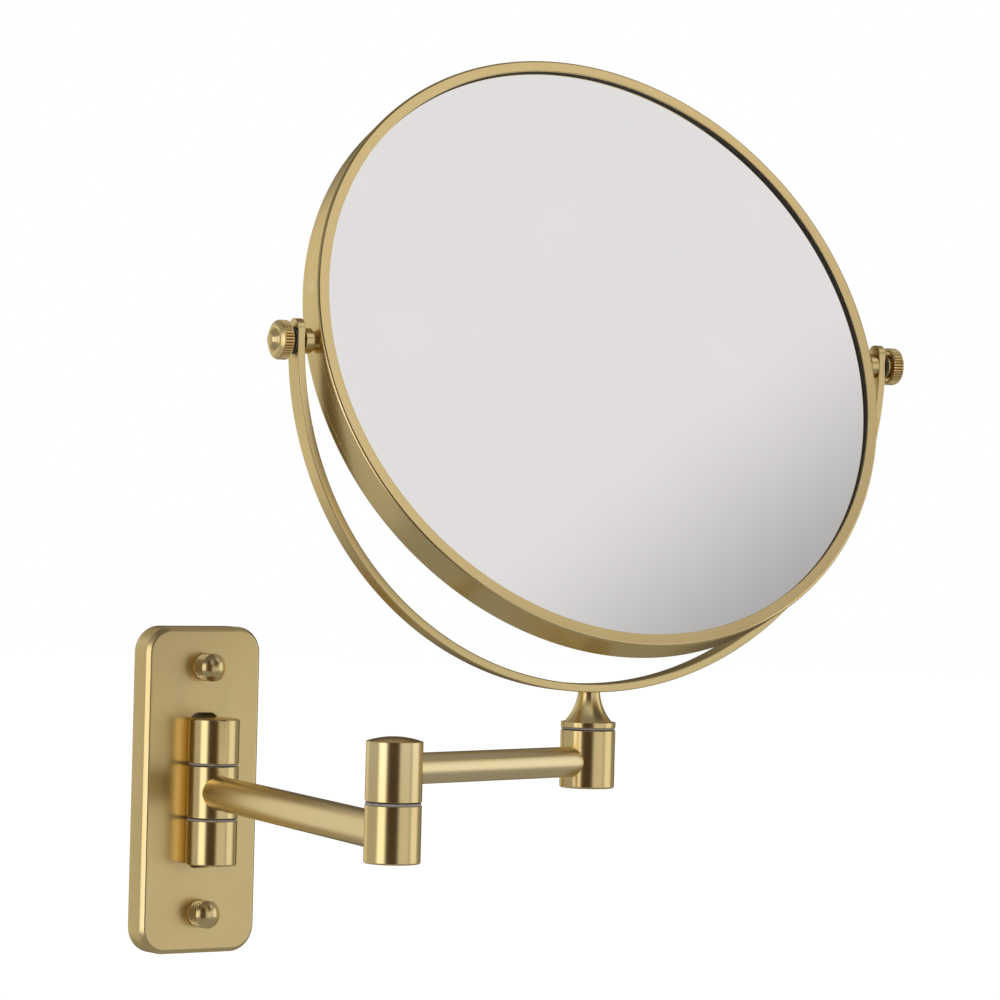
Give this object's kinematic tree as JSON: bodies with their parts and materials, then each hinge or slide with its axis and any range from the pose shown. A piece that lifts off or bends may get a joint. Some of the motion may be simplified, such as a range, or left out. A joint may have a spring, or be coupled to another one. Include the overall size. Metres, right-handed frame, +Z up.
{
  "type": "extendable shaving mirror",
  "caption": "Wall-mounted double-sided round mirror in a tilting yoke on a jointed extending arm, in satin brass.",
  "frame": {"origin": "centre of the backplate's wall face", "axes": "+Y into the wall, +Z up, +X to the right when facing the wall"},
  "size_m": [0.2518, 0.2311, 0.3278],
  "materials": {
    "satin_brass": "satin brushed",
    "zinc_steel": "zinc plated",
    "grey_nylon": "matte",
    "dark_rubber": "matte",
    "mirror_glass": "polished",
    "backing": "matte"
  },
  "bodies": {
    "wall_mount": {"wall_bracket": "zinc_steel", "backplate": "satin_brass", "cover_stud_upper": "zinc_steel", "cover_stud_lower": "zinc_steel", "thumb_nut_upper": "satin_brass", "thumb_nut_lower": "satin_brass", "hinge_block": "satin_brass", "upper_knuckle": "satin_brass", "lower_knuckle": "satin_brass", "hinge_pin": "zinc_steel", "hinge_washer_upper": "grey_nylon", "hinge_washer_lower": "grey_nylon"},
    "inner_arm": {"middle_knuckle": "satin_brass", "inner_arm_tube": "satin_brass", "elbow_lower_barrel": "satin_brass", "elbow_spindle": "zinc_steel", "elbow_washer": "grey_nylon", "elbow_spring_washer": "zinc_steel", "elbow_lock_nut": "zinc_steel"},
    "outer_arm": {"elbow_upper_barrel": "satin_brass", "elbow_cap": "satin_brass", "outer_arm_tube": "satin_brass", "end_barrel": "satin_brass", "end_barrel_plug": "satin_brass"},
    "swivel": {"swivel_washer": "grey_nylon", "swivel_neck": "satin_brass", "swivel_spindle": "zinc_steel", "swivel_spring_washer": "zinc_steel", "swivel_lock_nut": "zinc_steel", "yoke": "satin_brass", "yoke_washer_left": "dark_rubber", "yoke_washer_right": "dark_rubber"},
    "mirror": {"rim_band": "satin_brass", "front_bezel": "satin_brass", "rear_bezel": "satin_brass", "front_gasket": "dark_rubber", "rear_gasket": "dark_rubber", "plain_glass": "mirror_glass", "magnifying_glass": "mirror_glass", "backing_board": "backing", "pivot_nut_left": "zinc_steel", "pivot_nut_right": "zinc_steel", "pivot_stud_left": "zinc_steel", "pivot_stud_right": "zinc_steel", "pivot_spacer_left": "satin_brass", "pivot_spacer_right": "satin_brass"},
    "left_knob": {"left_knob": "satin_brass"},
    "right_knob": {"right_knob": "satin_brass"}
  },
  "joints": [
    {"name": "wall_hinge", "type": "hinge", "parent": "wall_mount", "child": "inner_arm", "pos_m": [0, -0.0183, 0], "axis": [0, 0, 1], "range_deg": [-76, 100]},
    {"name": "elbow_hinge", "type": "hinge", "parent": "inner_arm", "child": "outer_arm", "pos_m": [-0.04123, -0.20582, 0.0103], "axis": [0, 0, 1], "continuous": true},
    {"name": "yoke_swivel", "type": "hinge", "parent": "outer_arm", "child": "swivel", "pos_m": [0.05309, -0.18318, 0.0327], "axis": [0, 0, 1], "continuous": true},
    {"name": "mirror_tilt", "type": "hinge", "parent": "swivel", "child": "mirror", "pos_m": [0.05309, -0.18318, 0.1628], "axis": [0.9952, -0.0976, 0], "continuous": true},
    {"name": "left_knob_turn", "type": "hinge", "parent": "mirror", "child": "left_knob", "pos_m": [0.05309, -0.18318, 0.1628], "axis": [0.9952, -0.0976, 0], "range_deg": [-180, 180]},
    {"name": "right_knob_turn", "type": "hinge", "parent": "mirror", "child": "right_knob", "pos_m": [0.05309, -0.18318, 0.1628], "axis": [0.9952, -0.0976, 0], "range_deg": [-180, 180]}
  ]
}
